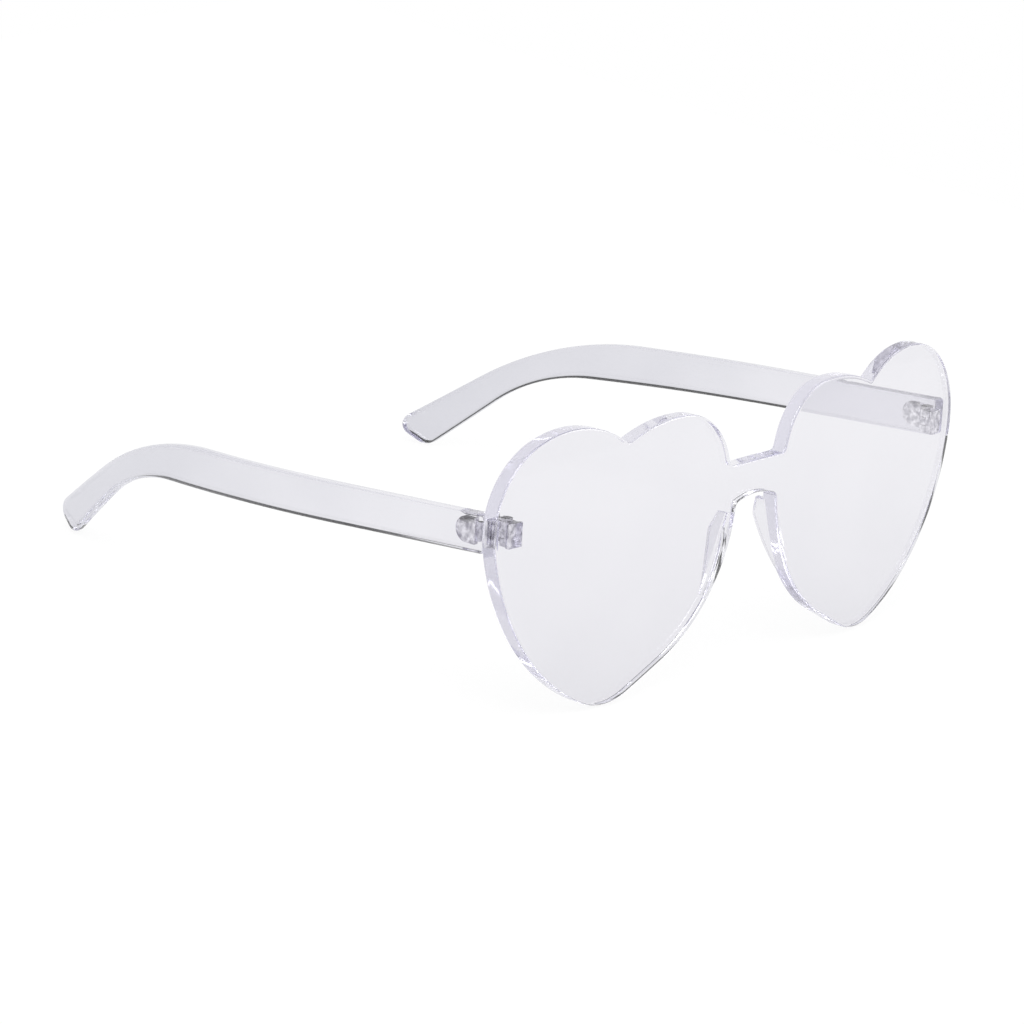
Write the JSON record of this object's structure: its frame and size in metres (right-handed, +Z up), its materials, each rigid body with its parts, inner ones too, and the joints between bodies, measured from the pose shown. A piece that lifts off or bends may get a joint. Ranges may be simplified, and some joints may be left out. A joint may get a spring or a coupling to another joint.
{
  "type": "heart shaped sunglasses",
  "caption": "Rimless glasses in clear plastic: a heart shaped front moulded in one with its bridge and nose pads, and curved temples that fold on small screwed metal hinges.",
  "frame": {"origin": "middle of the box on the surface that the open glasses stand on, heart tips and temple tips down", "axes": "+X to the wearer's left, across the front; +Y from the front towards the temple tips; +Z up"},
  "size_m": [0.148, 0.1322, 0.0563],
  "materials": {
    "clear_front": "clear, polished",
    "clear_temple": "clear, polished",
    "hinge_metal": "nickel plated",
    "screw_metal": "bright, worn in the slot"
  },
  "bodies": {
    "front": {"front_lens": "clear_front", "front_hinge_leaf_left": "hinge_metal", "hinge_screw_left": "screw_metal", "front_hinge_leaf_right": "hinge_metal", "hinge_screw_right": "screw_metal"},
    "temple_left": {"temple_left": "clear_temple", "temple_hinge_leaf_left": "hinge_metal"},
    "temple_right": {"temple_right": "clear_temple", "temple_hinge_leaf_right": "hinge_metal"}
  },
  "joints": [
    {"name": "temple_left_fold", "type": "hinge", "parent": "front", "child": "temple_left", "pos_m": [0.0676, -0.05489, 0.03728], "axis": [0, 0.0734, 0.9973], "range_deg": [0, 83]},
    {"name": "temple_right_fold", "type": "hinge", "parent": "front", "child": "temple_right", "pos_m": [-0.0676, -0.05489, 0.03728], "axis": [0, -0.0734, -0.9973], "range_deg": [0, 78]}
  ]
}
